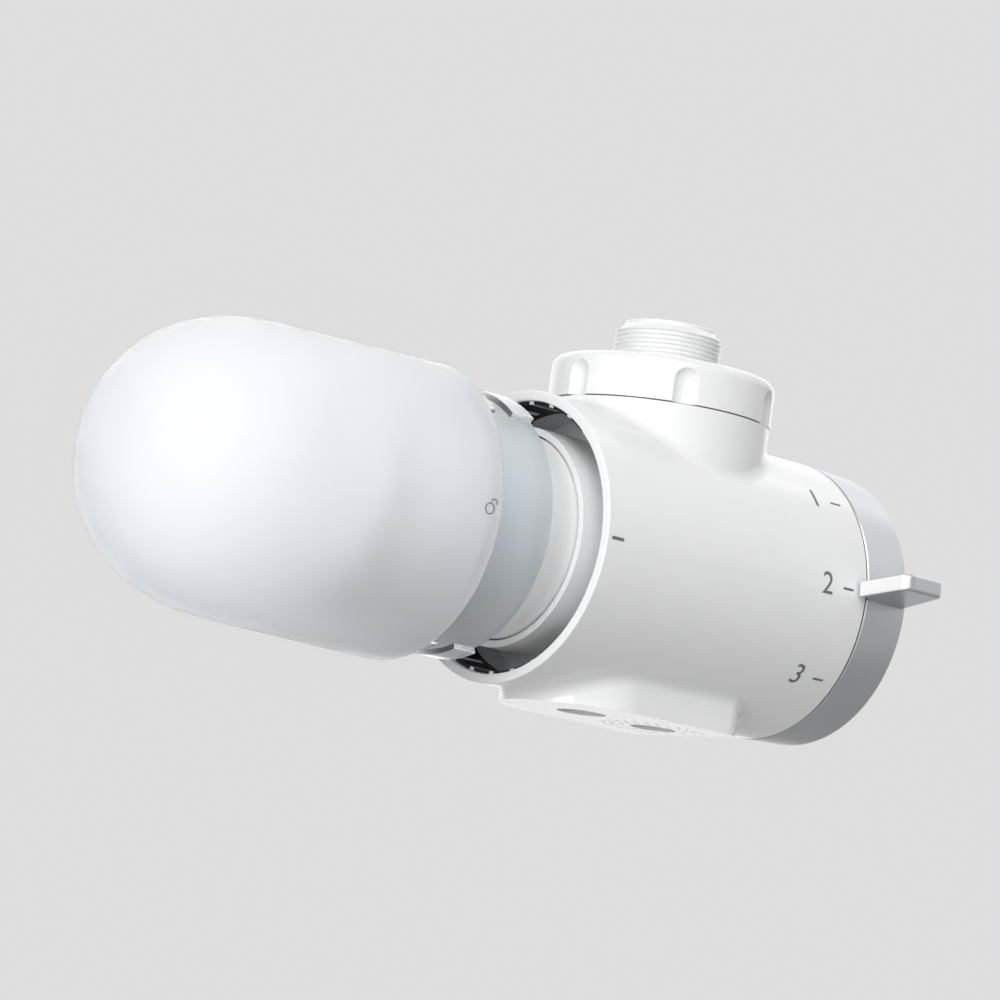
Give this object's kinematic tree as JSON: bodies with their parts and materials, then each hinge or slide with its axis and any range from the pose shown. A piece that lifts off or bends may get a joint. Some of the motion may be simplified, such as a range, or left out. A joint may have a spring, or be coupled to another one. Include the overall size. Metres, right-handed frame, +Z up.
{
  "type": "faucet-mounted water filter",
  "caption": "Tube-shaped faucet water filter: white body with threaded inlet, outlet pad and lever dial, and a frosted twist-off cover drawn off its plug-in cartridge.",
  "frame": {"origin": "on the inlet axis at the base of the male inlet thread", "axes": "+Z up along the inlet thread, +X along the body towards the selector dial"},
  "size_m": [0.2021, 0.0827, 0.0889],
  "materials": {
    "white_abs": "glossy moulded ABS",
    "black_abs": "satin black moulded ABS",
    "white_polypropylene": "satin moulded polypropylene",
    "frosted_clear": "frosted translucent moulding with a clear collar",
    "clear_silicone": "translucent silicone",
    "silver_plastic": "satin silver-grey paint on plastic",
    "natural_acetal": "machined-smooth natural acetal",
    "black_rubber": "moulded rubber",
    "stainless_steel": "bright stainless steel",
    "activated_carbon": "pressed carbon block",
    "white_fibre": "wound polypropylene fibre"
  },
  "bodies": {
    "body": {"housing": "white_abs", "bayonet_ring": "black_abs", "cartridge_socket": "white_abs", "inlet_adapter": "white_abs", "inlet_washer": "black_rubber", "inlet_screen": "stainless_steel", "outlet_plate": "white_abs", "outlet_gasket": "black_rubber", "tap_strainer": "natural_acetal", "cartridge_can": "white_polypropylene", "cartridge_cap": "white_polypropylene", "spigot_o_rings": "black_rubber", "core_tube": "white_polypropylene", "carbon_block": "activated_carbon", "sediment_wrap": "white_fibre", "block_gaskets": "black_rubber", "valve_cover": "natural_acetal", "valve_cover_seal": "black_rubber", "valve_cover_screws": "stainless_steel"},
    "nut_slip": {"slip_washer": "natural_acetal"},
    "nut": {"swivel_nut": "white_abs"},
    "cover_ring": {"cover_seal": "clear_silicone"},
    "cover": {"cover": "frosted_clear"},
    "dial": {"selector_dial": "silver_plastic", "valve_rotor": "natural_acetal", "rotor_o_rings": "black_rubber", "dial_screw": "stainless_steel", "dial_cap": "silver_plastic"}
  },
  "joints": [
    {"name": "nut_lift", "type": "slide", "parent": "body", "child": "nut_slip", "axis": [0, 0, 1], "range_m": [0, 0.00401]},
    {"name": "nut_turn", "type": "hinge", "parent": "nut_slip", "child": "nut", "pos_m": [0, 0, 0], "axis": [0, 0, 1], "range_deg": [0, 720]},
    {"name": "cover_slide", "type": "slide", "parent": "body", "child": "cover_ring", "axis": [1, 0, 0], "range_m": [-0.06, 0.0298]},
    {"name": "cover_twist", "type": "hinge", "parent": "cover_ring", "child": "cover", "pos_m": [0, 0, -0.0451], "axis": [1, 0, 0], "range_deg": [0, 40]},
    {"name": "dial_turn", "type": "hinge", "parent": "body", "child": "dial", "pos_m": [0, 0, -0.0451], "axis": [1, 0, 0], "range_deg": [-38.5, 38.5]}
  ],
  "couplings": [
    {"joint": "nut_lift", "follows": "nut_turn", "m_per_rad": 0.00031831}
  ]
}
